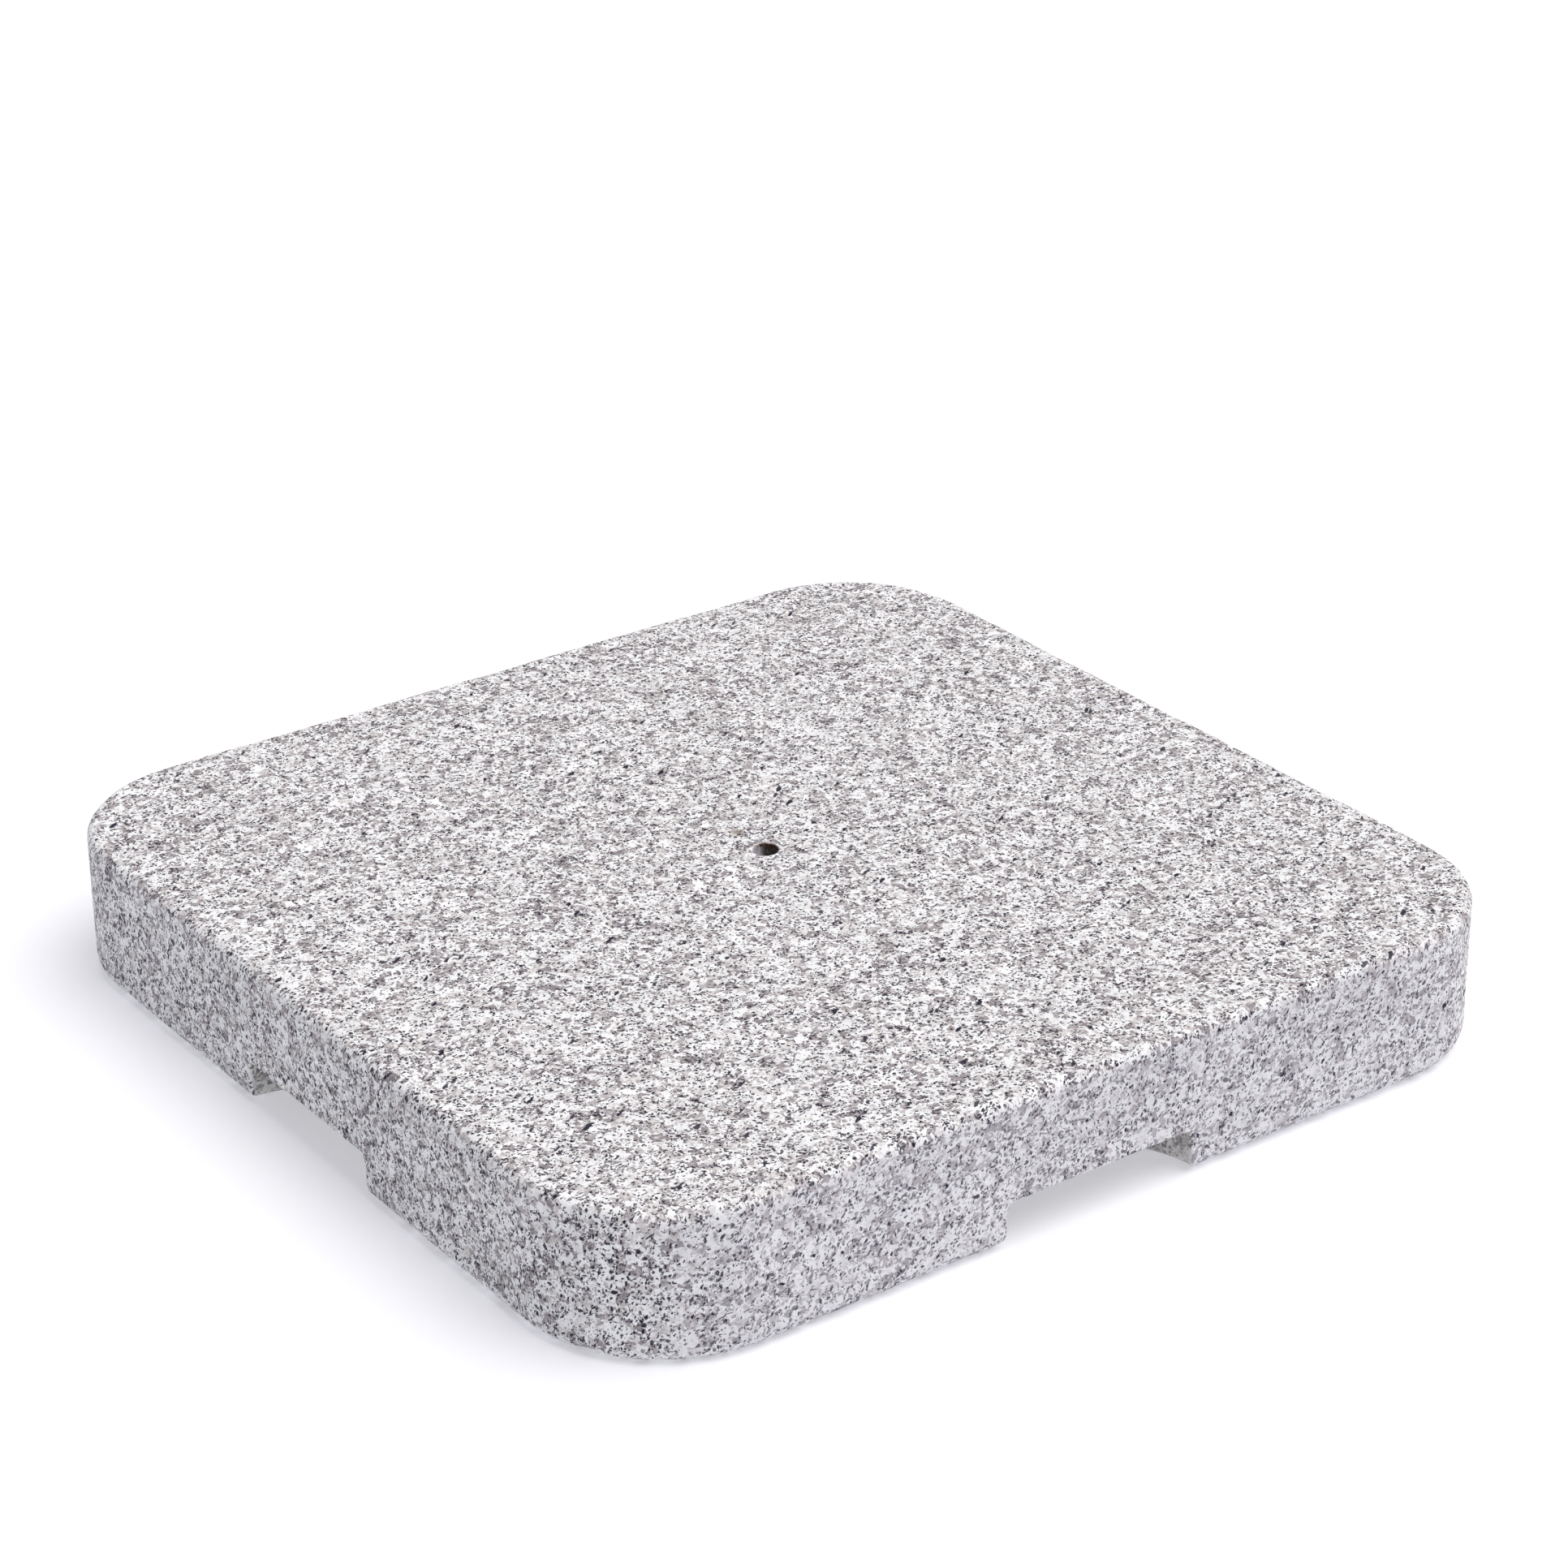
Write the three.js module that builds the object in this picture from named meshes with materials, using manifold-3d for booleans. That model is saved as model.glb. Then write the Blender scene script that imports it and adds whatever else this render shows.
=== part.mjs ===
// A granite ballast slab for a garden parasol: one block of light grey granite, square with large
// round corners, and about 125 kg. A bolt passes up through its centre to hold the parasol's foot,
// with its head sunk into the underside. A hand-hold is cut into the bottom of each side, so that
// four people can lift it. Millimetres, +Z up, origin at the centre of the underside.
import * as THREE from 'three';
import { mergeVertices } from 'three/addons/utils/BufferGeometryUtils.js';
import Module from 'manifold-3d';

// Block
const SIDE = 700;
const THICKNESS = 100;
const CORNER_RADIUS = 100;
const TOP_ROUND = 7; // eased arris round the top
const BOTTOM_ROUND = 12; // fuller rounding round the underside and the foot of the hand-hold walls

// Bolt hole: clearance for an M16 bolt, with a pocket for its head and washer
const BOLT_HOLE_RADIUS = 8.5;
const BOLT_HEAD_RADIUS = 25;
const BOLT_HEAD_DEPTH = 25;

// Hand-holds, seen as a niche in the side face that is open to the floor. In plan each is a half
// circle, the cut of a round grinding wheel lowered into the underside right above the side face.
const GRIP_RADIUS = 71;
const GRIP_HEIGHT = 31;
const GRIP_ROOF_FILLET = 6; // between the niche's wall and its roof
const GRIP_OVERRUN = 30; // how far the cutter reaches out of the side face

// Each hand-hold's side, as a turn about Z from the front side, and how far its middle lies from
// the side's middle. The front and left ones were set out a little towards their shared corner.
const GRIPS = [
  { turn: 0, shift: -5 }, // front, -Y
  { turn: Math.PI / 2, shift: 0 }, // right, +X
  { turn: Math.PI, shift: 0 }, // back, +Y
  { turn: -Math.PI / 2, shift: 5 }, // left, -X
];

const CORNER_STEPS = 12; // facets in each round corner of the block
const GRIP_STEPS = 20; // facets in the half circle of a hand-hold
const ROUND_STEPS = 4; // facets across an edge rounding
const HOLE_STEPS = 40;

const HALF = SIDE / 2;
const ROOF_START = GRIP_HEIGHT - GRIP_ROOF_FILLET; // where the niche wall ends and the fillet starts

const wasm = await Module();
wasm.setup();

// A closed three.js geometry as a manifold solid.
function toSolid(geometry) {
  geometry.deleteAttribute('normal');
  geometry.deleteAttribute('uv');
  const merged = mergeVertices(geometry, 1e-4);
  return new wasm.Manifold(
    new wasm.Mesh({
      numProp: 3,
      vertProperties: new Float32Array(merged.attributes.position.array),
      triVerts: new Uint32Array(merged.index.array),
    }),
  );
}

// A manifold solid as a three.js geometry with flat-shaded faces.
function toGeometry(solid) {
  const mesh = solid.getMesh();
  const geometry = new THREE.BufferGeometry();
  geometry.setAttribute('position', new THREE.BufferAttribute(mesh.vertProperties, 3));
  geometry.setIndex(new THREE.BufferAttribute(mesh.triVerts, 1));
  geometry.computeVertexNormals();
  return geometry;
}

// A point of a hand-hold, given along the front side and inwards from it, turned to its own side.
function gripPoint({ turn, shift }, along, inwards) {
  const point = new THREE.Vector2(along + shift, inwards - HALF);
  return point.rotateAround(new THREE.Vector2(0, 0), turn);
}

// The points of a hand-hold's half circle, anticlockwise round the block. With a reach, straight
// stretches carry on from both ends of it, out of the side face.
function gripOutline(grip, reach = 0) {
  const points = [];
  for (let i = 0; i <= GRIP_STEPS; i += 1) {
    const angle = Math.PI * (1 - i / GRIP_STEPS);
    points.push(gripPoint(grip, GRIP_RADIUS * Math.cos(angle), GRIP_RADIUS * Math.sin(angle)));
  }
  if (reach > 0) {
    points.unshift(gripPoint(grip, -GRIP_RADIUS, -reach));
    points.push(gripPoint(grip, GRIP_RADIUS, -reach));
  }
  return points;
}

// The block's outline in plan, with or without the hand-holds let into its sides.
function blockOutline(withGrips) {
  const shape = new THREE.Shape();
  const straight = HALF - CORNER_RADIUS;
  const centre = new THREE.Vector2(0, 0);
  for (const grip of GRIPS) {
    const points = withGrips ? gripOutline(grip) : [];
    for (let i = 0; i <= CORNER_STEPS; i += 1) {
      const angle = ((Math.PI / 2) * i) / CORNER_STEPS - Math.PI / 2;
      const corner = new THREE.Vector2(Math.cos(angle), Math.sin(angle)).multiplyScalar(CORNER_RADIUS);
      corner.add(new THREE.Vector2(straight, -straight));
      points.push(corner.rotateAround(centre, grip.turn));
    }
    for (const point of points) {
      if (shape.curves.length === 0 && shape.currentPoint.lengthSq() === 0) {
        shape.moveTo(point.x, point.y);
      } else {
        shape.lineTo(point.x, point.y);
      }
    }
  }
  shape.closePath();
  return shape;
}

// An outline made into a solid from one height to another, with both ends rounded over.
function roundedPrism(shape, bottom, top, round) {
  const geometry = new THREE.ExtrudeGeometry(shape, {
    depth: top - bottom - 2 * round,
    bevelThickness: round,
    bevelSize: round,
    bevelOffset: -round,
    bevelSegments: ROUND_STEPS,
  });
  geometry.translate(0, 0, bottom + round);
  return toSolid(geometry);
}

// A box over the whole plan, between two heights.
function layer(bottom, top) {
  const box = new THREE.BoxGeometry(2 * SIDE, 2 * SIDE, top - bottom);
  box.translate(0, 0, (bottom + top) / 2);
  return toSolid(box);
}

function drill(radius, bottom, top) {
  const cylinder = new THREE.CylinderGeometry(radius, radius, top - bottom, HOLE_STEPS);
  cylinder.rotateX(Math.PI / 2);
  cylinder.translate(0, 0, (bottom + top) / 2);
  return toSolid(cylinder);
}

// Below the fillet the block has the hand-holds in its outline, so that the rounding of the
// underside runs on along their walls.
function footLayer() {
  const full = roundedPrism(blockOutline(true), 0, THICKNESS, BOTTOM_ROUND);
  return full.intersect(layer(-1, ROOF_START));
}

// Above it the block is whole, apart from the rounded tops of the hand-holds.
function topLayer() {
  let block = roundedPrism(blockOutline(false), -THICKNESS, THICKNESS, TOP_ROUND);
  block = block.intersect(layer(ROOF_START, THICKNESS + 1));
  for (const grip of GRIPS) {
    const niche = new THREE.Shape(gripOutline(grip, GRIP_OVERRUN));
    block = block.subtract(roundedPrism(niche, -GRIP_HEIGHT, GRIP_HEIGHT, GRIP_ROOF_FILLET));
  }
  return block;
}

function graniteSlab() {
  const boltHole = drill(BOLT_HOLE_RADIUS, -1, THICKNESS + 1);
  const boltHeadPocket = drill(BOLT_HEAD_RADIUS, -1, BOLT_HEAD_DEPTH);
  return footLayer().add(topLayer()).subtract(boltHole).subtract(boltHeadPocket);
}

const granite = new THREE.MeshStandardMaterial({
  color: 0xc9c8ca,
  roughness: 0.72,
  metalness: 0,
  flatShading: true,
});

const slab = new THREE.Mesh(toGeometry(graniteSlab()), granite);
slab.name = 'granite_slab';

const group = new THREE.Group();
group.add(slab);

export default group;
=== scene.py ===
# %% [markdown]
# # A granite slab that holds down a garden parasol
# The object is one block of light grey granite, 700 mm square and 100 mm thick, with large round
# corners, a bolt hole through its middle and a hand-hold cut into the bottom of each side. It has
# no joints and no second piece, so the lesson is about two things: how to give a plain block the
# edges that a stonemason's tools leave, and how to grow granite from nodes, crystal by crystal.

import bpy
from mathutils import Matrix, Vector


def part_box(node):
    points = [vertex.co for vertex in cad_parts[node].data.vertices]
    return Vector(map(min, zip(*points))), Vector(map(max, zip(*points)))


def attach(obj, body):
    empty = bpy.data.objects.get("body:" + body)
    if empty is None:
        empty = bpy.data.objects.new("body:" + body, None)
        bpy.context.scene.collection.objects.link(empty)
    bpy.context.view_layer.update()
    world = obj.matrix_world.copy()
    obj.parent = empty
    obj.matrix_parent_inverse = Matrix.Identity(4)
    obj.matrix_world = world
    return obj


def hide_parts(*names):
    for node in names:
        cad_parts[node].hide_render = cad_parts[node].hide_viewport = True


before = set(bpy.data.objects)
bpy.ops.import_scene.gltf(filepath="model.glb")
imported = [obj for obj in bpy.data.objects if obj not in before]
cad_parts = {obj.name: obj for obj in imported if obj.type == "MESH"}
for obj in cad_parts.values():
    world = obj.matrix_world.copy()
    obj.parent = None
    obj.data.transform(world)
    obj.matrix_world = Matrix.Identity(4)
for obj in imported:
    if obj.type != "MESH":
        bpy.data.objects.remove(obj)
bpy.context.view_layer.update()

# %% Tools for the rest of the lesson
import math

import bpy
import numpy as np
from mathutils import Euler, Matrix, Vector


def srgb(hex_colour):
    """Turn a hex colour, as a paint chart gives it, into the linear RGBA that shaders use."""
    parts = [int(hex_colour[i:i + 2], 16) / 255 for i in (1, 3, 5)]
    linear = [c / 12.92 if c <= 0.04045 else ((c + 0.055) / 1.055) ** 2.4 for c in parts]
    return (*linear, 1.0)


def add_node(tree, kind, inputs=None, **settings):
    """Add one node, give it its settings, and fill its inputs with values, nodes or sockets."""
    node = tree.nodes.new(kind)
    for name, value in settings.items():
        setattr(node, name, value)
    for name, value in (inputs or {}).items():
        if isinstance(value, bpy.types.Node):
            value = value.outputs[0]
        if isinstance(value, bpy.types.NodeSocket):
            tree.links.new(value, node.inputs[name])
        else:
            node.inputs[name].default_value = value
    return node


print("a paint of #808080 reflects", round(srgb("#808080")[0], 3), "of the light")

# %% [markdown]
# ## Camera
# The slab is seen from above its front-left corner with a long lens, so that its sides hardly
# converge. The camera is placed first, because it decides how fine every later detail must be. A
# camera can be aimed with a constraint, but three angles and a distance are plainer: the turn
# round the slab, the tilt down to it, and a very small lean of the horizon.

# %% Place the camera
AIM = Vector((0.127, 0.157, 0.05))
DISTANCE = 2.879
TURN = math.radians(-35.38)
TILT = math.radians(25.69)
LEAN = math.radians(-0.70)

camera_data = bpy.data.cameras.new("camera")
camera_data.lens = 94.74
camera_data.sensor_width = 36
camera = bpy.data.objects.new("camera", camera_data)
bpy.context.collection.objects.link(camera)
looking = Euler((math.pi / 2 - TILT, 0, TURN)).to_matrix() @ Matrix.Rotation(LEAN, 3, "Z")
eye = AIM + looking.col[2] * DISTANCE
camera.matrix_world = Matrix.Translation(eye) @ looking.to_4x4()
bpy.context.scene.camera = camera
print("camera at", [round(c, 3) for c in eye])

# %% [markdown]
# ## Floor and light
# A product studio lays the object on white paper and lights it from a large soft box overhead, so
# that the top is brightest and every shadow has a wide soft edge. An area light would do, but it
# has to be huge, and it fades across the floor. Here the soft box is a sun lamp that fills 60
# degrees of the sky, leaning to the front and right, so its light is the same everywhere and just
# as soft. A pale world stands for the white walls. The left-hand side gets hardly any of the soft
# box, so it is the darkest of the three.
#
# The paper is matt, which means a high roughness and hardly any gloss. It lies on a light table,
# which makes it glow a little and keeps the shadows on it pale.

# %% Lay the paper
FLOOR_REACH = 12.0

paper = bpy.data.materials.new("white_studio_paper")
paper.use_nodes = True
sheet = paper.node_tree.nodes["Principled BSDF"]
sheet.inputs["Base Color"].default_value = srgb("#d1d1d5")
sheet.inputs["Emission Color"].default_value = srgb("#fafbff")
sheet.inputs["Emission Strength"].default_value = 0.38
sheet.inputs["Roughness"].default_value = 0.9
sheet.inputs["Specular IOR Level"].default_value = 0.2

floor_mesh = bpy.data.meshes.new("floor")
floor_corners = [(FLOOR_REACH * x, FLOOR_REACH * y, 0)
                 for x, y in ((-1, -1), (1, -1), (1, 1), (-1, 1))]
floor_mesh.from_pydata(floor_corners, [], [(0, 1, 2, 3)])
floor_mesh.materials.append(paper)
floor = bpy.data.objects.new("floor", floor_mesh)
bpy.context.collection.objects.link(floor)
print("floor laid,", 2 * FLOOR_REACH, "m wide")

# %% Hang the soft box and whiten the walls
TOWARDS_LIGHT = Vector((0.35, -0.27, 1.0))

soft_box_data = bpy.data.lights.new("soft_box", "SUN")
soft_box_data.angle = math.radians(60)
soft_box_data.energy = 2.82
soft_box_data.color = (1.0, 0.97, 0.935)
soft_box = bpy.data.objects.new("soft_box", soft_box_data)
bpy.context.collection.objects.link(soft_box)
soft_box.location = 3 * TOWARDS_LIGHT
soft_box.rotation_euler = TOWARDS_LIGHT.to_track_quat("Z", "Y").to_euler()

walls = bpy.data.worlds.new("pale_walls")
walls.use_nodes = True
backdrop = walls.node_tree.nodes["Background"]
backdrop.inputs["Color"].default_value = srgb("#f4f5ff")
backdrop.inputs["Strength"].default_value = 0.405
bpy.context.scene.world = walls
bpy.context.scene.view_settings.view_transform = "Standard"
print("soft box of strength", round(soft_box_data.energy, 2))

# %% [markdown]
# ## The shape of the slab
# A mason saws the block, grinds its corners round and hones the top, then eases every edge with a
# hand grinder. So the faces are true but the edges are not: their rounding grows and shrinks
# by a millimetre or so, and small crystals have broken out along them.
#
# Bevels on a polygon model would give edges that are all alike, and a sculpt couldn't be checked
# against the drawing. The way used here is a formula. For any point it gives the distance in
# millimetres to the stone's surface, positive in the air and negative in the stone. A voxel remesh
# of the CAD slab gives an even skin of points, and each point is then moved on to the surface that
# the formula describes. Rounded edges and their wear are all part of the formula.

# %% The mason's drawing, in millimetres
slab_low, slab_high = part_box("granite_slab")
SIDE = 1000 * (slab_high[0] - slab_low[0])
THICKNESS = 1000 * (slab_high[2] - slab_low[2])
HALF = SIDE / 2
CORNER_RADIUS = 100
TOP_ROUND = 7
BOTTOM_ROUND = 12

BOLT_HOLE_RADIUS = 8.5
BOLT_HOLE_EDGE = 0.6
BOLT_HEAD_RADIUS = 25
BOLT_HEAD_DEPTH = 25

GRIP_RADIUS = 71
GRIP_HEIGHT = 31
GRIP_ROOF_FILLET = 6
SAWN_EDGE = 1.2
# Each hand-hold's turn from the front side, in degrees, and its shift along its side: the front,
# right, back and left ones.
GRIPS = [(0, -5), (90, 0), (180, 0), (-90, 5)]
print("slab", round(SIDE), "x", round(SIDE), "x", round(THICKNESS), "mm")


# %% Two rules for building shapes from distances
def rounded_meeting(a, b, radius):
    """Distance to the overlap of two shapes, with the edge where they meet rounded off."""
    corner = np.hypot(np.maximum(a + radius, 0), np.maximum(b + radius, 0))
    return np.minimum(-radius, np.maximum(a, b)) + corner


def rounded_outline(across, along, radius):
    """Distance to an outline with a round corner, from its distances past two straight sides."""
    a = across + radius
    b = along + radius
    return np.hypot(np.maximum(a, 0), np.maximum(b, 0)) + np.minimum(np.maximum(a, b), 0) - radius


print("a 10 mm rounding takes", round(float(rounded_meeting(0, 0, 10)), 1), "mm off a sharp edge")

# %% [markdown]
# Wear has to be random and yet the same on every run. A Displace modifier with a cloudy texture
# could press it into the mesh, but then the formula wouldn't know of it. So the formula has its own
# clouds. A lattice of seeded random numbers, blended smoothly between its points, is the simplest
# such pattern. The size of its lumps is its one setting, in millimetres: 70 for the slow wave of a
# ground face, 8 and 4 for broken crystals.

# %% A cloud of seeded random values
LOW_CORNER = np.array([-HALF, -HALF, 0.0])
LATTICES = {}


def cloud(points, lump, seed):
    """Smooth random values from -1 to 1, in lumps that are about this many millimetres wide."""
    cells = tuple(int(side / lump) + 5 for side in (SIDE, SIDE, THICKNESS))
    if (lump, seed) not in LATTICES:
        LATTICES[lump, seed] = np.random.default_rng(seed).uniform(-1, 1, cells)
    lattice = LATTICES[lump, seed]
    place = (points - LOW_CORNER) / lump + 1.5
    base = np.clip(np.floor(place).astype(int), 0, np.array(cells) - 2)
    t = np.clip(place - base, 0, 1)
    t = t * t * (3 - 2 * t)
    value = np.zeros(len(points))
    for step in np.ndindex(2, 2, 2):
        weight = np.where(step, t, 1 - t).prod(axis=1)
        value += weight * lattice[tuple((base + step).T)]
    return value


middle_of_top = np.array([[0.0, 0.0, THICKNESS]])
print("the 70 mm cloud over the bolt hole:", round(float(cloud(middle_of_top, 70, 1)[0]), 3))

# %% [markdown]
# Each kind of wear has a depth, a reach and a lump size. A face that was ground by hand waves by
# up to 0.7 mm. Crystals break out within a few millimetres of an edge, hardly 1 mm deep. A
# diamond saw leaves shallow ridges in the hand-holds. The bolt and its washer nibble at the rim of
# the hole. One larger chip, 28 mm long, is missing from the lower edge at the front-left corner,
# as when a slab is set down too hard. It could be carved with a boolean, but one more sphere taken
# out by the formula does the same.

# %% What tools and years take away, in millimetres
GROUND_WAVE = 0.7
TOP_ROUND_CHANGE = 1.6
CHIP_CENTRE = np.array([-350.6, -301.2, -12.9])
CHIP_RADIUS = 26.0
CHIP_EDGE = 1.5


def broken_edges(points, to_edge):
    """Crystals of two sizes that have broken out along the edges."""
    large = np.maximum(cloud(points, 8, 3) - 0.35, 0)
    small = np.maximum(cloud(points, 4, 4), 0)
    return 0.9 * np.exp(-to_edge / 7) * (large + 0.5 * small)


def saw_marks(points, to_grip):
    """Ridges that the saw left in the hand-holds."""
    return np.exp(-to_grip / 3) * 0.3 * cloud(points, 6, 5)


def worn_rim(points, to_rim):
    """Nibbles in the rim and the wall of the bolt hole."""
    return 0.8 * (np.exp(-to_rim / 2) * np.maximum(cloud(points, 3, 6), 0))


print("chip", round(CHIP_RADIUS), "mm in radius at", CHIP_CENTRE)


# %% The formula of the slab
def hand_hold(points, turn, shift):
    """Distance to one hand-hold: a half circle in plan, with a fillet under its roof."""
    x, y, z = points.T
    c = math.cos(math.radians(turn))
    s = math.sin(math.radians(turn))
    along = x * c + y * s - shift
    inwards = y * c - x * s + HALF
    wall = np.hypot(along, np.maximum(inwards, 0)) - GRIP_RADIUS
    return rounded_meeting(wall, z - GRIP_HEIGHT, GRIP_ROOF_FILLET)


def slab_distance(points, worn=True):
    """Distance from each point, in millimetres, to the surface of the finished slab."""
    x, y, z = points.T
    plan = rounded_outline(np.abs(x) - HALF, np.abs(y) - HALF, CORNER_RADIUS)
    above = z - THICKNESS
    top_round = TOP_ROUND
    if worn:
        # The slow wave of a ground side, then the uneven pressure of the hand grinder.
        plan = plan + GROUND_WAVE / 2 * (1 + cloud(points, 70, 1))
        top_round = TOP_ROUND + TOP_ROUND_CHANGE * cloud(points, 38, 2)
    stone = rounded_meeting(plan, above, top_round)

    # The underside is rounded after the hand-holds are cut, so that its rounding runs on along
    # the foot of their walls.
    hand_holds = [hand_hold(points, turn, shift) for turn, shift in GRIPS]
    for cut in hand_holds:
        stone = rounded_meeting(stone, -cut, SAWN_EDGE)
    stone = rounded_meeting(stone, -z, BOTTOM_ROUND)

    from_bolt = np.hypot(x, y)
    stone = rounded_meeting(stone, BOLT_HOLE_RADIUS - from_bolt, BOLT_HOLE_EDGE)
    pocket = np.maximum(from_bolt - BOLT_HEAD_RADIUS, z - BOLT_HEAD_DEPTH)
    stone = rounded_meeting(stone, -pocket, SAWN_EDGE)
    if not worn:
        return stone

    chip = np.linalg.norm(points - CHIP_CENTRE, axis=1) - CHIP_RADIUS
    stone = rounded_meeting(stone, -chip, CHIP_EDGE)
    to_edge = np.abs(plan) + np.minimum(np.abs(above), z)
    to_grip = np.min(np.abs(hand_holds), axis=0)
    to_rim = np.abs(from_bolt - BOLT_HOLE_RADIUS)
    broken = broken_edges(points, to_edge)
    return stone + broken + saw_marks(points, to_grip) + worn_rim(points, to_rim)


over_the_top = np.array([[200.0, 200.0, THICKNESS + 50]])
print("50 mm above the top the formula gives", round(float(slab_distance(over_the_top)[0]), 2))


# %% Move points on to the surface
def slope(points, worn):
    """The direction straight out of the stone at each point, with unit length."""
    reach = 0.2
    probes = np.array([(1, 1, 1), (1, -1, -1), (-1, 1, -1), (-1, -1, 1)])
    total = sum(slab_distance(points + probe * reach, worn)[:, None] * probe for probe in probes)
    return total / np.maximum(np.linalg.norm(total, axis=1, keepdims=True), 1e-9)


def settle(points, worn, rounds):
    """Slide points along the slope until the formula says that they lie on the surface."""
    for _ in range(rounds):
        points = points - slope(points, worn) * slab_distance(points, worn)[:, None]
    return points


print("that point settles at height", round(float(settle(over_the_top, True, 3)[0, 2]), 2), "mm")

# %% [markdown]
# The remesh works in cubes of 2 mm, so the skin starts with about 320,000 points. The sharpest
# edges, round the bolt hole, are finer than that, so the faces there are split twice before the
# points settle. Afterwards most points on the flat faces do nothing, and a decimate takes them away
# while it keeps those along the edges. The shading normals come from the formula too, which makes
# flat faces look truly flat.

# %% Make the skin of the slab
import bmesh

VOXEL = 0.002
MOST_TRIANGLES = 150000


def coordinates_mm(mesh):
    """The place of every point of a mesh, as rows of x, y and z in millimetres."""
    flat = np.empty(3 * len(mesh.vertices))
    mesh.vertices.foreach_get("co", flat)
    return 1000 * flat.reshape(-1, 3)


def applied(piece, kind, **settings):
    """Add a modifier to a piece, give it its settings, and apply it."""
    modifier = piece.modifiers.new(kind.lower(), kind)
    for name, value in settings.items():
        setattr(modifier, name, value)
    shaped = piece.evaluated_get(bpy.context.evaluated_depsgraph_get())
    mesh = bpy.data.meshes.new_from_object(shaped)
    piece.modifiers.clear()
    piece.data = mesh


cad_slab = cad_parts["granite_slab"]
slab = bpy.data.objects.new("honed_slab", cad_slab.data.copy())
bpy.context.collection.objects.link(slab)
slab.data.materials.clear()
applied(slab, "REMESH", mode="VOXEL", voxel_size=VOXEL, use_smooth_shade=True)
print("skin of", len(slab.data.vertices), "points")

# %% Split the skin round the bolt hole
SPLIT_WIDTHS = (0.030, 0.014)
SPLIT_ABOVE = 0.08

skin = bmesh.new()
skin.from_mesh(slab.data)
for width in SPLIT_WIDTHS:
    near = [
        e for e in skin.edges
        if all(math.hypot(v.co.x, v.co.y) < width and v.co.z > SPLIT_ABOVE for v in e.verts)
    ]
    bmesh.ops.subdivide_edges(skin, edges=near, cuts=1, use_grid_fill=True)
bmesh.ops.triangulate(skin, faces=skin.faces)
skin.to_mesh(slab.data)
skin.free()
print("finer round the hole:", len(slab.data.vertices), "points")

# %% Settle, thin out and settle again
points = settle(coordinates_mm(slab.data), worn=False, rounds=3)
points = settle(points, worn=True, rounds=1)
slab.data.vertices.foreach_set("co", (points / 1000).ravel())
applied(slab, "DECIMATE", ratio=min(1, MOST_TRIANGLES / len(slab.data.polygons)))
points = settle(coordinates_mm(slab.data), worn=True, rounds=1)
slab.data.vertices.foreach_set("co", (points / 1000).ravel())
slab.data.polygons.foreach_set("use_smooth", np.ones(len(slab.data.polygons), dtype=bool))
slab.data.normals_split_custom_set_from_vertices(slope(points, worn=True).tolist())
slab.data.update()
print("slab of", len(slab.data.polygons), "triangles, within",
      round(float(np.abs(slab_distance(points)).max()), 3), "mm of the formula")

# %% Put the slab in the CAD slab's place
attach(slab, "root")
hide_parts("granite_slab")
print(slab.name, "stands for granite_slab")

# %% [markdown]
# ## Granite
# Light grey granite is about half white feldspar, a third quartz, which looks grey and a little
# lilac because light goes into it, and a tenth black mica. The crystals grew against each other,
# so each kind fills whatever room the others left. A flat pattern wrapped round the block would
# show a seam at each edge. Real granite is the same all through, so the pattern is made in three
# dimensions from the slab's own coordinates, in millimetres, and a crystal that the saw cut at an
# edge carries on round it.
#
# A Voronoi texture fills space with cells, each with a random colour, and that is very close to
# how crystals divide a rock. The first step is to bend the coordinates a little, so that
# the cells lose their straight sides. Three sizes of noise do it: lumps of about 5 mm push a
# crystal out of shape, and lumps of about 1 mm and finer roughen its outline.

# %% Bent coordinates, in millimetres
BENDS = [(0.2, 3.6), (0.9, 1.3), (2.6, 0.45)]  # lumps per millimetre, and the most they push, in mm
MIX_A, MIX_B, MIX_OUT = 6, 7, 2  # the colour sockets of a Mix node

granite = bpy.data.materials.new("honed_grey_granite")
granite.use_nodes = True
tree = granite.node_tree
tree.nodes.clear()

where = add_node(tree, "ShaderNodeTexCoord")
stone_mm = add_node(tree, "ShaderNodeVectorMath", {0: where.outputs["Object"], "Scale": 1000.0},
                    operation="SCALE")
bent = stone_mm
for lumps_per_mm, push_mm in BENDS:
    lumps = add_node(tree, "ShaderNodeTexNoise", {"Vector": stone_mm, "Scale": lumps_per_mm,
                                                  "Detail": 1.0})
    centred = add_node(tree, "ShaderNodeVectorMath",
                       {0: lumps.outputs["Color"], 1: (0.5, 0.5, 0.5)}, operation="SUBTRACT")
    bent = add_node(tree, "ShaderNodeVectorMath",
                    {0: centred, 1: (push_mm,) * 3, 2: bent}, operation="MULTIPLY_ADD")
print("coordinates bent by", len(BENDS), "sizes of noise")

# %% [markdown]
# ### Feldspar and quartz
# Two sizes of crystal lie mixed: large ones of about 5 mm, and small ones of about 2 mm that
# have grown between them and take their place in about two fifths of the stone. A ramp turns each
# cell's random number into a kind of crystal, and its steps are as wide as the share of each kind
# in the rock. Hard steps would give flat patches like camouflage. So the ramp is a smooth one, and
# a fine noise is added to the random number, which lets the kinds run into each other a little.

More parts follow.
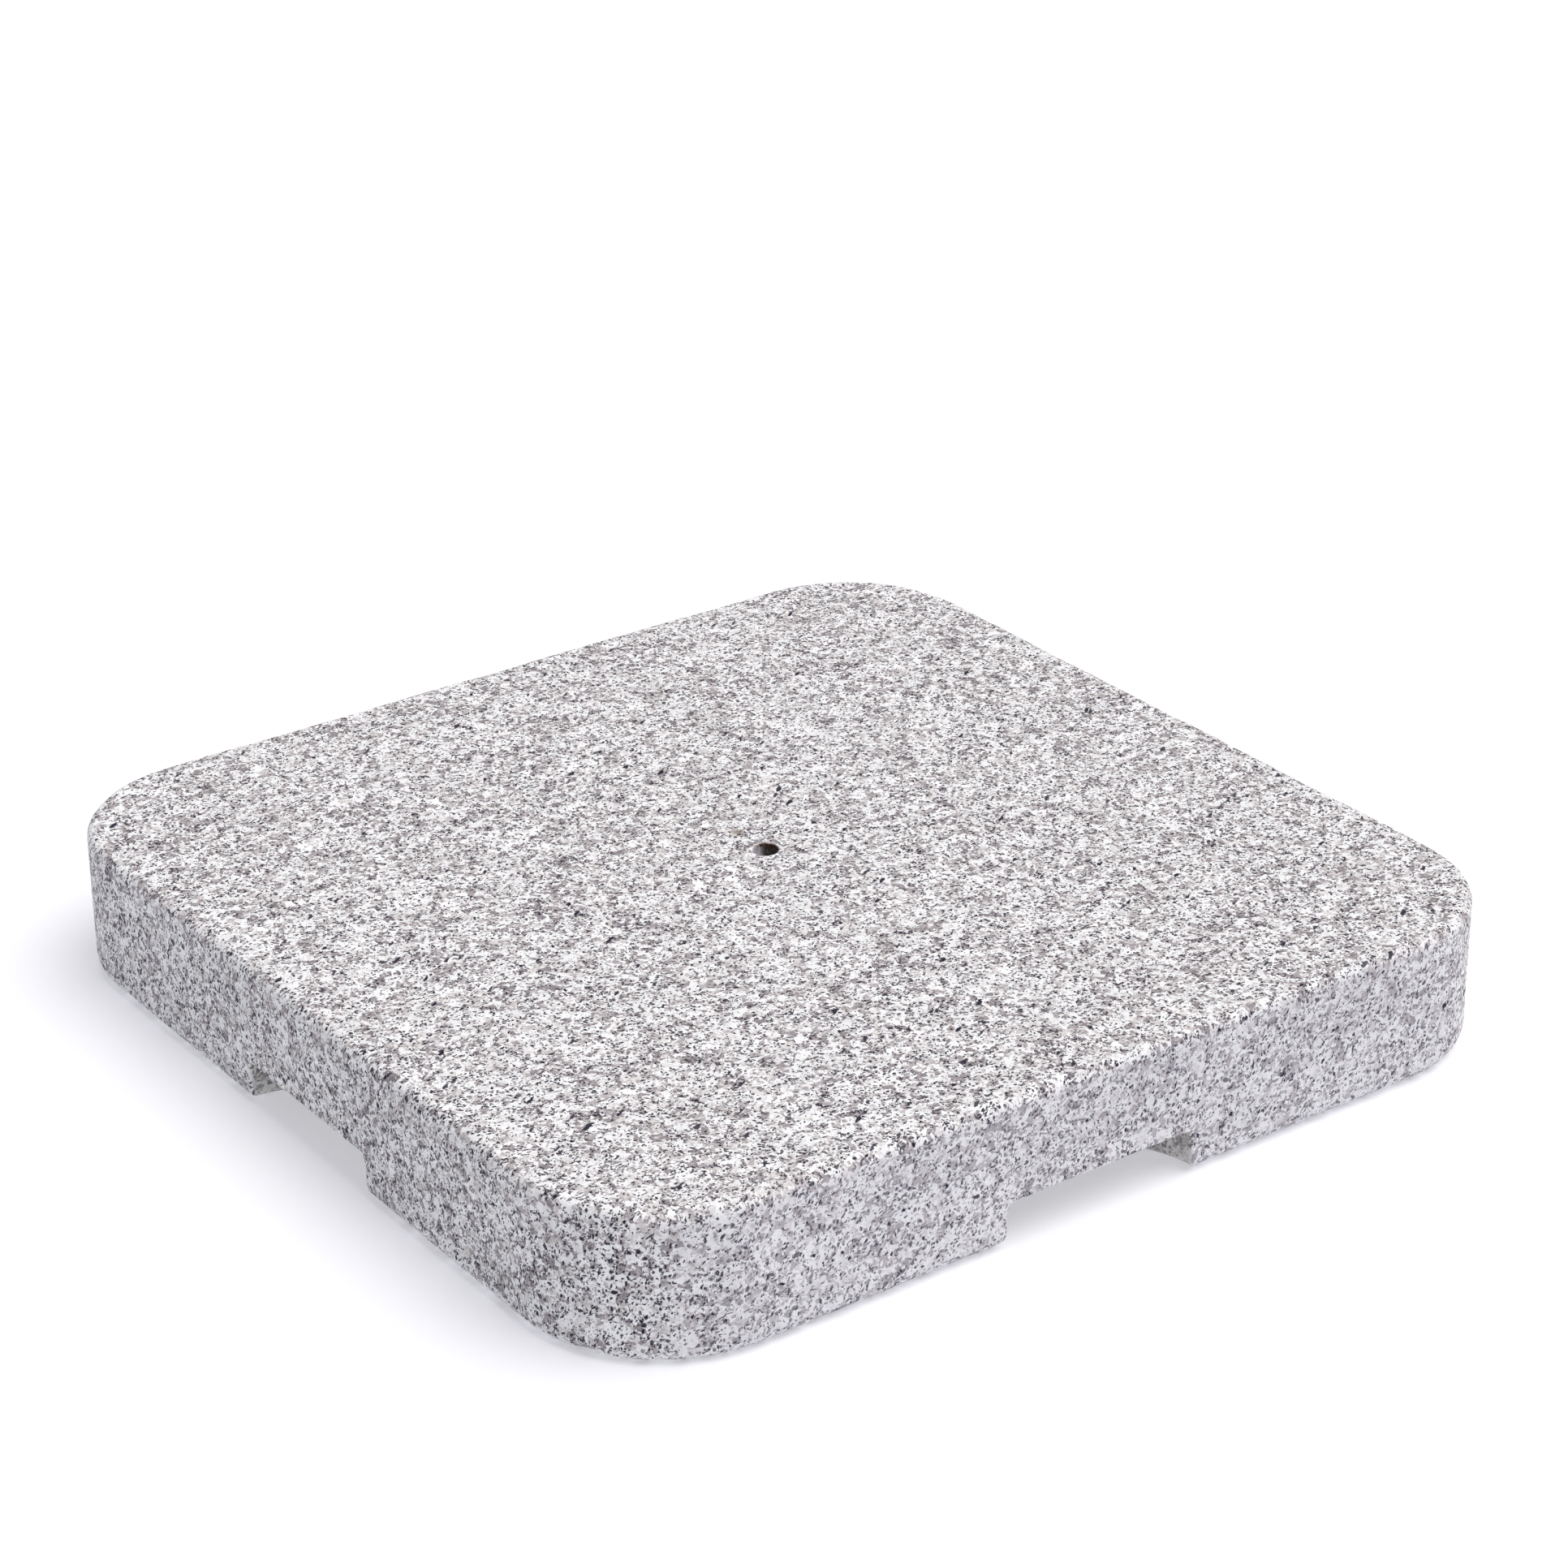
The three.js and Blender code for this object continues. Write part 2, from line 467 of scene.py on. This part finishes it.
# %% Crystals of two sizes
LARGE_CRYSTAL_MM = 5.6
SMALL_CRYSTAL_MM = 2.3
SMALL_SHARE = 0.42
KIND_BLUR = 0.75
KINDS = [  # where each kind starts, and its colour
    (0.00, "#878184"),  # smoky quartz
    (0.12, "#a0999c"),  # quartz
    (0.29, "#c2bdbe"),  # quartz with feldspar
    (0.40, "#d9d6d3"),  # cream feldspar
    (0.52, "#e2e2e4"),  # white feldspar
    (0.76, "#eff0f1"),  # the whitest feldspar
]

cloudiness = add_node(tree, "ShaderNodeTexNoise", {"Vector": bent, "Scale": 0.55, "Detail": 3.0,
                                                   "Roughness": 0.62})


def crystals(width_mm):
    """Cells of about this width: three random numbers for each, and the colour of its kind."""
    cells = add_node(tree, "ShaderNodeTexVoronoi", {"Vector": bent, "Scale": 1 / width_mm})
    chance = add_node(tree, "ShaderNodeSeparateXYZ", {0: cells.outputs["Color"]})
    blurred = add_node(tree, "ShaderNodeMath", {0: cloudiness, 1: 0.5}, operation="SUBTRACT")
    blurred = add_node(tree, "ShaderNodeMath",
                       {0: blurred, 1: KIND_BLUR, 2: chance.outputs[0]},
                       operation="MULTIPLY_ADD")
    colour_of_kind = add_node(tree, "ShaderNodeValToRGB", {0: blurred})
    colour_of_kind.color_ramp.interpolation = "LINEAR"
    stops = colour_of_kind.color_ramp.elements
    for index, (start, colour) in enumerate(KINDS):
        stop = stops[index] if index < 2 else stops.new(start)
        stop.position = start
        stop.color = srgb(colour)
    return chance, colour_of_kind


_, large_crystals = crystals(LARGE_CRYSTAL_MM)
small_chance, small_crystals = crystals(SMALL_CRYSTAL_MM)
is_small = add_node(tree, "ShaderNodeMath", {0: small_chance.outputs[1], 1: SMALL_SHARE},
                    operation="LESS_THAN")
pale_stone = add_node(tree, "ShaderNodeMix",
                      {0: is_small, MIX_A: large_crystals, MIX_B: small_crystals},
                      data_type="RGBA")
print("crystals of", len(KINDS), "kinds and two sizes")

# %% [markdown]
# ### Painted sheen on the front side
# The front side catches more sheen than the others, and that sheen is painted into its colour as
# a pale haze. It brings the colours of the crystals closer together, and hides some flakes of mica
# more than others. A second material on the front faces would end in a hard line, so the painted
# sheen is a mask that fades away within 25 mm.

# %% Where the painted sheen lies
SHEEN_FADES_OVER = 25  # mm behind the front side

axes = add_node(tree, "ShaderNodeSeparateXYZ", {0: stone_mm})
in_front = add_node(tree, "ShaderNodeMapRange", {"Value": axes.outputs[1],
                                                 "From Min": SHEEN_FADES_OVER - HALF,
                                                 "From Max": -HALF})
not_top = add_node(tree, "ShaderNodeMapRange", {"Value": axes.outputs[2],
                                                "From Min": THICKNESS,
                                                "From Max": THICKNESS - TOP_ROUND})
# Painted sheen, not dust: a pale haze over the front side, fading away behind it.
painted_sheen_mask = add_node(tree, "ShaderNodeMath", {0: in_front, 1: not_top}, operation="MULTIPLY")
print("film of dust from the front side to", SHEEN_FADES_OVER, "mm behind it")

# %% [markdown]
# ### Mica
# Black mica, or biotite, grows as thin flakes one to three millimetres long, which lie in every
# direction and gather in loose clusters. In one stretched Voronoi texture they would all lie the
# same way. So there are four more, each stretched and turned another way. They keep only the
# middle of some of their cells, and the last one makes a few large flakes. A slow noise decides
# how many are kept, which makes the clusters. A flake lies deeper or shallower below the honed
# face, so each gets its own strength too, and the painted sheen on the front weakens it further.

# %% Where mica gathers
clusters = add_node(tree, "ShaderNodeTexNoise", {"Vector": stone_mm, "Scale": 0.1, "Detail": 2.0})
share = add_node(tree, "ShaderNodeMapRange", {"Value": clusters.outputs[0], "From Min": 0.32,
                                              "From Max": 0.68, "To Min": 0.08, "To Max": 0.68})
# On the front side the painted sheen weakens the mica flakes.
weakest = add_node(tree, "ShaderNodeMapRange", {"Value": painted_sheen_mask,
                                                "To Min": 0.92, "To Max": 0.55})
print("mica in 8 to 68% of the cells, in clusters of about 10 mm")

# %% Flakes of mica, lying four ways
FLAKES = [  # how they are turned and squeezed, their width in mm, and how common they are
    ((0.2, 0.3, 0.1), (0.36, 1.0, 1.0), 1.25, 0.95),
    ((0.9, -0.4, 1.7), (0.42, 1.0, 0.9), 1.5, 0.90),
    ((-0.5, 1.1, 2.6), (0.55, 1.0, 1.0), 2.0, 0.80),
    ((0.4, 0.2, -0.6), (0.32, 1.0, 0.8), 2.9, 0.09),
]


def flakes(turned, squeeze, width_mm, common):
    """One set of flakes that all lie the same way: 1 in the middle of a flake, 0 outside."""
    lying = add_node(tree, "ShaderNodeVectorRotate", {"Vector": bent, "Rotation": turned},
                     rotation_type="EULER_XYZ")
    lying = add_node(tree, "ShaderNodeVectorMath", {0: lying, 1: squeeze}, operation="MULTIPLY")
    cells = add_node(tree, "ShaderNodeTexVoronoi", {"Vector": lying, "Scale": 1 / width_mm})
    chance = add_node(tree, "ShaderNodeSeparateXYZ", {0: cells.outputs["Color"]})
    few = add_node(tree, "ShaderNodeMath", {0: share, 1: common}, operation="MULTIPLY")
    kept = add_node(tree, "ShaderNodeMath", {0: chance.outputs[0], 1: few},
                    operation="LESS_THAN")
    size = add_node(tree, "ShaderNodeMapRange", {"Value": chance.outputs[1], "To Min": 0.14,
                                                 "To Max": 0.58})
    spare = add_node(tree, "ShaderNodeMath", {0: size, 1: cells.outputs["Distance"]},
                     operation="SUBTRACT")
    middle = add_node(tree, "ShaderNodeMapRange", {"Value": spare, "From Min": -0.05,
                                                   "From Max": 0.09})
    strong = add_node(tree, "ShaderNodeMapRange", {"Value": chance.outputs[2],
                                                   "To Min": weakest, "To Max": 1.0})
    flake = add_node(tree, "ShaderNodeMath", {0: middle, 1: kept}, operation="MULTIPLY")
    return add_node(tree, "ShaderNodeMath", {0: flake, 1: strong}, operation="MULTIPLY")


mica = flakes(*FLAKES[0])
for set_of_flakes in FLAKES[1:]:
    mica = add_node(tree, "ShaderNodeMath", {0: mica, 1: flakes(*set_of_flakes)},
                    operation="MAXIMUM")
print("mica from", len(FLAKES), "sets of flakes")

# %% [markdown]
# ### Colour, layer by layer
# No crystal is one flat colour. Fine noise of about a millimetre makes each a little cloudy, and a
# very slow one makes some parts of the slab a little lighter than others. The painted sheen of the
# front side goes over that, and the mica on top. Mix nodes lay one layer over another, as with
# coats of paint, and each layer's mask is its share. Mica isn't plain black in daylight but a
# very dark violet.

# %% Cloudy crystals, painted sheen and mica
PAINTED_SHEEN_STRENGTH = 0.32

haze = add_node(tree, "ShaderNodeTexNoise", {"Vector": stone_mm, "Scale": 1.3, "Detail": 3.0})
haze = add_node(tree, "ShaderNodeMapRange", {"Value": haze.outputs[0], "From Min": 0.25,
                                             "From Max": 0.75, "To Min": 0.84, "To Max": 1.12})
slow = add_node(tree, "ShaderNodeTexNoise", {"Vector": stone_mm, "Scale": 0.03, "Detail": 3.0})
slow = add_node(tree, "ShaderNodeMapRange", {"Value": slow.outputs[0], "From Min": 0.3,
                                             "From Max": 0.7, "To Min": 0.93, "To Max": 1.07})
light_and_dark = add_node(tree, "ShaderNodeMath", {0: haze, 1: slow}, operation="MULTIPLY")
cloudy = add_node(tree, "ShaderNodeVectorMath", {0: pale_stone.outputs[MIX_OUT],
                                                 "Scale": light_and_dark}, operation="SCALE")

# Painted sheen: the pale haze laid over the crystals of the front side.
painted_sheen_cover = add_node(tree, "ShaderNodeMath", {0: painted_sheen_mask, 1: PAINTED_SHEEN_STRENGTH},
                      operation="MULTIPLY")
with_painted_sheen = add_node(tree, "ShaderNodeMix",
                     {0: painted_sheen_cover, MIX_A: cloudy, MIX_B: srgb("#c3c1cb")}, data_type="RGBA")
honed_colour = add_node(tree, "ShaderNodeMix", {0: mica, MIX_A: with_painted_sheen.outputs[MIX_OUT],
                                                MIX_B: srgb("#17102a")}, data_type="RGBA")
print("honed stone from", len(tree.nodes), "nodes")

# %% [markdown]
# ### Honed outside, sawn inside
# The top and sides were honed: ground with finer and finer grit, which leaves a matt surface
# with clean colours. The hand-holds, the bolt hole and the underside are as the saw and the drill
# left them, rough and filled with their own grey dust. A second material could be given to the
# faces there, but the decimate has made those large and uneven, and the border would be ragged.
# So the shader works out how far inside the outline a point is, with the outline's formula in
# nodes. The rounding of the lower edge was ground with the sides, so near the floor a point has to
# lie further in to count as sawn.

# %% Distance inside the outline, in nodes
# The radius isn't taken off at the end, so the outline reads the corner radius on the sides.
past_side = []
for axis in (0, 1):
    out = add_node(tree, "ShaderNodeMath", {0: axes.outputs[axis]}, operation="ABSOLUTE")
    past = add_node(tree, "ShaderNodeMath", {0: out, 1: HALF - CORNER_RADIUS},
                    operation="SUBTRACT")
    past_side.append(past)
beyond = [add_node(tree, "ShaderNodeMath", {0: past, 1: 0.0}, operation="MAXIMUM")
          for past in past_side]
beyond = add_node(tree, "ShaderNodeCombineXYZ", {0: beyond[0], 1: beyond[1]})
beyond = add_node(tree, "ShaderNodeVectorMath", {0: beyond}, operation="LENGTH")
before = add_node(tree, "ShaderNodeMath", {0: past_side[0], 1: past_side[1]},
                  operation="MAXIMUM")
before = add_node(tree, "ShaderNodeMath", {0: before, 1: 0.0}, operation="MINIMUM")
outline = add_node(tree, "ShaderNodeMath", {0: beyond.outputs["Value"], 1: before},
                   operation="ADD")
print("on the sides the outline reads", CORNER_RADIUS, "and further in less")

# %% Find the sawn parts
LEAST_SAWN_DEPTH = 1.5  # mm inside the sides, clear of the wave in them
FULLY_SAWN_DEPTH = 3.0

low = add_node(tree, "ShaderNodeMapRange", {"Value": axes.outputs[2], "From Min": BOTTOM_ROUND,
                                            "From Max": 0.0})
low = add_node(tree, "ShaderNodeMath", {0: low, 1: 3.0}, operation="POWER")
ground_away = add_node(tree, "ShaderNodeMath", {0: low, 1: BOTTOM_ROUND, 2: outline},
                       operation="MULTIPLY_ADD")
inside = add_node(tree, "ShaderNodeMapRange", {"Value": ground_away,
                                               "From Min": CORNER_RADIUS - LEAST_SAWN_DEPTH,
                                               "From Max": CORNER_RADIUS - FULLY_SAWN_DEPTH})
below = add_node(tree, "ShaderNodeMapRange", {"Value": axes.outputs[2],
                                              "From Min": GRIP_HEIGHT + 1.0,
                                              "From Max": GRIP_HEIGHT})
in_plan = add_node(tree, "ShaderNodeCombineXYZ", {0: axes.outputs[0], 1: axes.outputs[1]})
from_bolt = add_node(tree, "ShaderNodeVectorMath", {0: in_plan}, operation="LENGTH")
drilled = add_node(tree, "ShaderNodeMapRange", {"Value": from_bolt.outputs["Value"],
                                                "From Min": BOLT_HOLE_RADIUS + 1.0,
                                                "From Max": BOLT_HOLE_RADIUS + 0.2})
sawn = add_node(tree, "ShaderNodeMath", {0: inside, 1: below}, operation="MULTIPLY")
sawn = add_node(tree, "ShaderNodeMath", {0: sawn, 1: drilled}, operation="MAXIMUM")
print("sawn up to", GRIP_HEIGHT, "mm from the floor, and in the bolt hole")

# %% Dust in the sawn parts
SAW_DUST_COVER = 0.40

dusty = add_node(tree, "ShaderNodeMix",
                 {0: SAW_DUST_COVER, MIX_A: honed_colour.outputs[MIX_OUT],
                  MIX_B: srgb("#bdbab3")}, data_type="RGBA")
stone_colour = add_node(tree, "ShaderNodeMix", {0: sawn, MIX_A: honed_colour.outputs[MIX_OUT],
                                                MIX_B: dusty.outputs[MIX_OUT]}, data_type="RGBA")
print("saw dust covers", round(100 * SAW_DUST_COVER), "% of the sawn stone's colour")

# %% [markdown]
# ### Rust and a stain
# A steel bolt stands in the hole for years and rain runs in round it. So the rim is brown on one
# side, with rust that has crept over the edge. The wall of the hole has painted light and shade:
# almost white on the side that the soft box shines into, and almost black on the side in shade.
# One small brown stain has also soaked into the top, a short way behind the hole.
#
# Rust, light and shade can be painted on by hand, vertex by vertex. Here the distance from the
# hole and the side of it that a point lies on are enough, and every reach stays a number that can
# be changed.

# %% Sides of the bolt hole
RUSTY_SIDE = (0.75, 0.66)
# The side of the hole wall that is painted almost white, as if lit by the soft box.
PAINTED_LIGHT_SIDE = (-0.95, 0.3)
# The side of the hole wall that is painted dark, as the shade there.
PAINTED_SHADE_SIDE = (0.97, -0.1)

away = add_node(tree, "ShaderNodeVectorMath", {0: in_plan}, operation="NORMALIZE")


def facing(direction, start, end):
    """How much a point lies on one side of the bolt hole, from 0 to 1."""
    side = add_node(tree, "ShaderNodeVectorMath", {0: away, 1: (*direction, 0.0)},
                    operation="DOT_PRODUCT")
    return add_node(tree, "ShaderNodeMapRange", {"Value": side.outputs["Value"],
                                                 "From Min": start, "From Max": end})


blotches = add_node(tree, "ShaderNodeTexNoise", {"Vector": stone_mm, "Scale": 0.45,
                                                 "Detail": 4.0, "Roughness": 0.65})
# Towards the second side the hole wall is painted with shade, not damp.
print("rust towards", RUSTY_SIDE, "and damp towards", PAINTED_SHADE_SIDE)

# %% Rust round the rim
RUST_REACH = 2.2  # mm from the hole
RUST_DEPTH = 7  # mm down the wall

blotchy = add_node(tree, "ShaderNodeMapRange", {"Value": blotches.outputs[0],
                                                "From Min": 0.35, "From Max": 0.55})
near_rim = add_node(tree, "ShaderNodeMapRange", {"Value": from_bolt.outputs["Value"],
                                                 "From Min": BOLT_HOLE_RADIUS + RUST_REACH,
                                                 "From Max": BOLT_HOLE_RADIUS + 0.3})
high_up = add_node(tree, "ShaderNodeMapRange", {"Value": axes.outputs[2],
                                                "From Min": THICKNESS - RUST_DEPTH,
                                                "From Max": THICKNESS - 1.5})
rust = add_node(tree, "ShaderNodeMath", {0: near_rim, 1: facing(RUSTY_SIDE, -0.1, 0.8)},
                operation="MULTIPLY")
rust = add_node(tree, "ShaderNodeMath", {0: rust, 1: high_up}, operation="MULTIPLY")
rust = add_node(tree, "ShaderNodeMath", {0: rust, 1: blotchy}, operation="MULTIPLY")
print("rust", RUST_REACH, "mm round the rim and", RUST_DEPTH, "mm down the wall")

# %% Painted light, painted shade and the rust in the hole, one over the other
# Painted light: the wall on the side that faces the soft box is painted almost white.
painted_light = add_node(tree, "ShaderNodeMath", {0: drilled, 1: facing(PAINTED_LIGHT_SIDE, -0.3, 0.2)},
                   operation="MULTIPLY")
painted_light = add_node(tree, "ShaderNodeMath", {0: painted_light, 1: 0.9}, operation="MULTIPLY")
with_painted_light = add_node(tree, "ShaderNodeMix", {0: painted_light, MIX_A: stone_colour.outputs[MIX_OUT],
                                        MIX_B: srgb("#fbf6ff")}, data_type="RGBA")
# Painted shade: the wall on the side away from the soft box is painted almost black, in patches.
painted_shade = add_node(tree, "ShaderNodeMath", {0: drilled, 1: facing(PAINTED_SHADE_SIDE, -0.1, 0.5)},
                operation="MULTIPLY")
patchy = add_node(tree, "ShaderNodeMapRange", {"Value": blotches.outputs[0], "From Min": 0.3,
                                               "From Max": 0.7, "To Min": 1.0, "To Max": 0.75})
painted_shade = add_node(tree, "ShaderNodeMath", {0: painted_shade, 1: patchy}, operation="MULTIPLY")
with_painted_shade = add_node(tree, "ShaderNodeMix", {0: painted_shade, MIX_A: with_painted_light.outputs[MIX_OUT],
                                         MIX_B: srgb("#16130f")}, data_type="RGBA")
rusty = add_node(tree, "ShaderNodeMix", {0: rust, MIX_A: with_painted_shade.outputs[MIX_OUT],
                                         MIX_B: srgb("#4a2f22")}, data_type="RGBA")
# Of these layers only the rust is weather; the others are painted light and painted shade.
print("three layers of weather in the hole")

# %% The small brown stain
STAIN = (0.0, 32.0, THICKNESS)

to_stain = add_node(tree, "ShaderNodeVectorMath", {0: bent, 1: STAIN}, operation="DISTANCE")
stain = add_node(tree, "ShaderNodeMapRange", {"Value": to_stain.outputs["Value"],
                                              "From Min": 5.0, "From Max": 1.5, "To Max": 0.75})
stained = add_node(tree, "ShaderNodeMix", {0: stain, MIX_A: rusty.outputs[MIX_OUT],
                                           MIX_B: srgb("#7d6f5c")}, data_type="RGBA")
print("stain", STAIN[1], "mm behind the bolt hole")

# %% [markdown]
# ### Relief and gloss
# A honed face is matt and almost smooth, with pits a tenth of a millimetre deep where crystals
# meet. A sawn face has pits four times as deep and hardly any gloss. The IOR of 1.54 is that of
# quartz. A matt stone gives back less gloss than its IOR says, so the specular level is turned
# down to suit.
#
# Pits this small would take tens of millions of faces, so a bump shows them. Everything larger
# than a millimetre is in the mesh.

# %% Relief and shader
HONED_PITS, SAWN_PITS = 0.00012, 0.00045  # metres
HONED_ROUGHNESS, SAWN_ROUGHNESS = 0.62, 0.9

pits = add_node(tree, "ShaderNodeTexNoise", {"Vector": stone_mm, "Scale": 1.6, "Detail": 4.0,
                                             "Roughness": 0.6})
depth = add_node(tree, "ShaderNodeMapRange", {"Value": sawn, "To Min": HONED_PITS,
                                              "To Max": SAWN_PITS})
relief = add_node(tree, "ShaderNodeBump", {"Height": pits.outputs[0], "Distance": depth})
matt = add_node(tree, "ShaderNodeMapRange", {"Value": sawn, "To Min": HONED_ROUGHNESS,
                                             "To Max": SAWN_ROUGHNESS})
shader = add_node(tree, "ShaderNodeBsdfPrincipled",
                  {"Base Color": stained.outputs[MIX_OUT], "Roughness": matt,
                   "IOR": 1.54, "Specular IOR Level": 0.2, "Normal": relief})
add_node(tree, "ShaderNodeOutputMaterial", {"Surface": shader.outputs[0]})
slab.data.materials.append(granite)
print("granite of", len(tree.nodes), "nodes")
